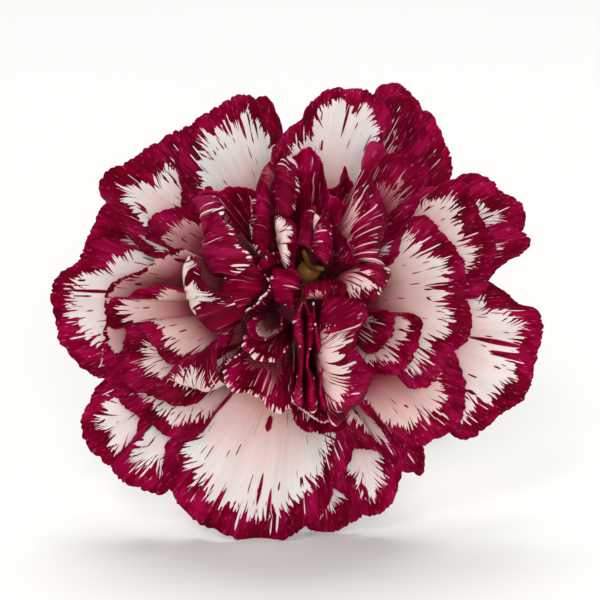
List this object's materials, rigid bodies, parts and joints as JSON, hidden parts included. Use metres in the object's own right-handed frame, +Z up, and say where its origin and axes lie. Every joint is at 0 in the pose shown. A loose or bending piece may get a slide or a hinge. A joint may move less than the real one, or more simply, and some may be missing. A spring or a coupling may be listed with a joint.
{
  "type": "cut carnation",
  "caption": "Double carnation bloom with ruffled, bordered petals in a green calyx, on a short leafy stem, lying on its side.",
  "frame": {"origin": "on the surface that the flower lies on, under the middle of its box", "axes": "+Z up, -Y the way the bloom faces, with the stem running back along +Y, +X to the right as the bloom is looked at"},
  "size_m": [0.0821, 0.1381, 0.0714],
  "materials": {
    "petal": "soft matt petal, cream with a crimson border",
    "pistil": "smooth pale green plant tissue",
    "calyx": "waxy ribbed green plant tissue",
    "stem": "waxy green plant tissue",
    "leaf": "matt blue-green plant tissue with a waxy bloom"
  },
  "bodies": {
    "root": {"petals": "petal", "pistil": "pistil", "calyx": "calyx", "stem": "stem", "leaf_right": "leaf", "leaf_left": "leaf"}
  },
  "joints": []
}
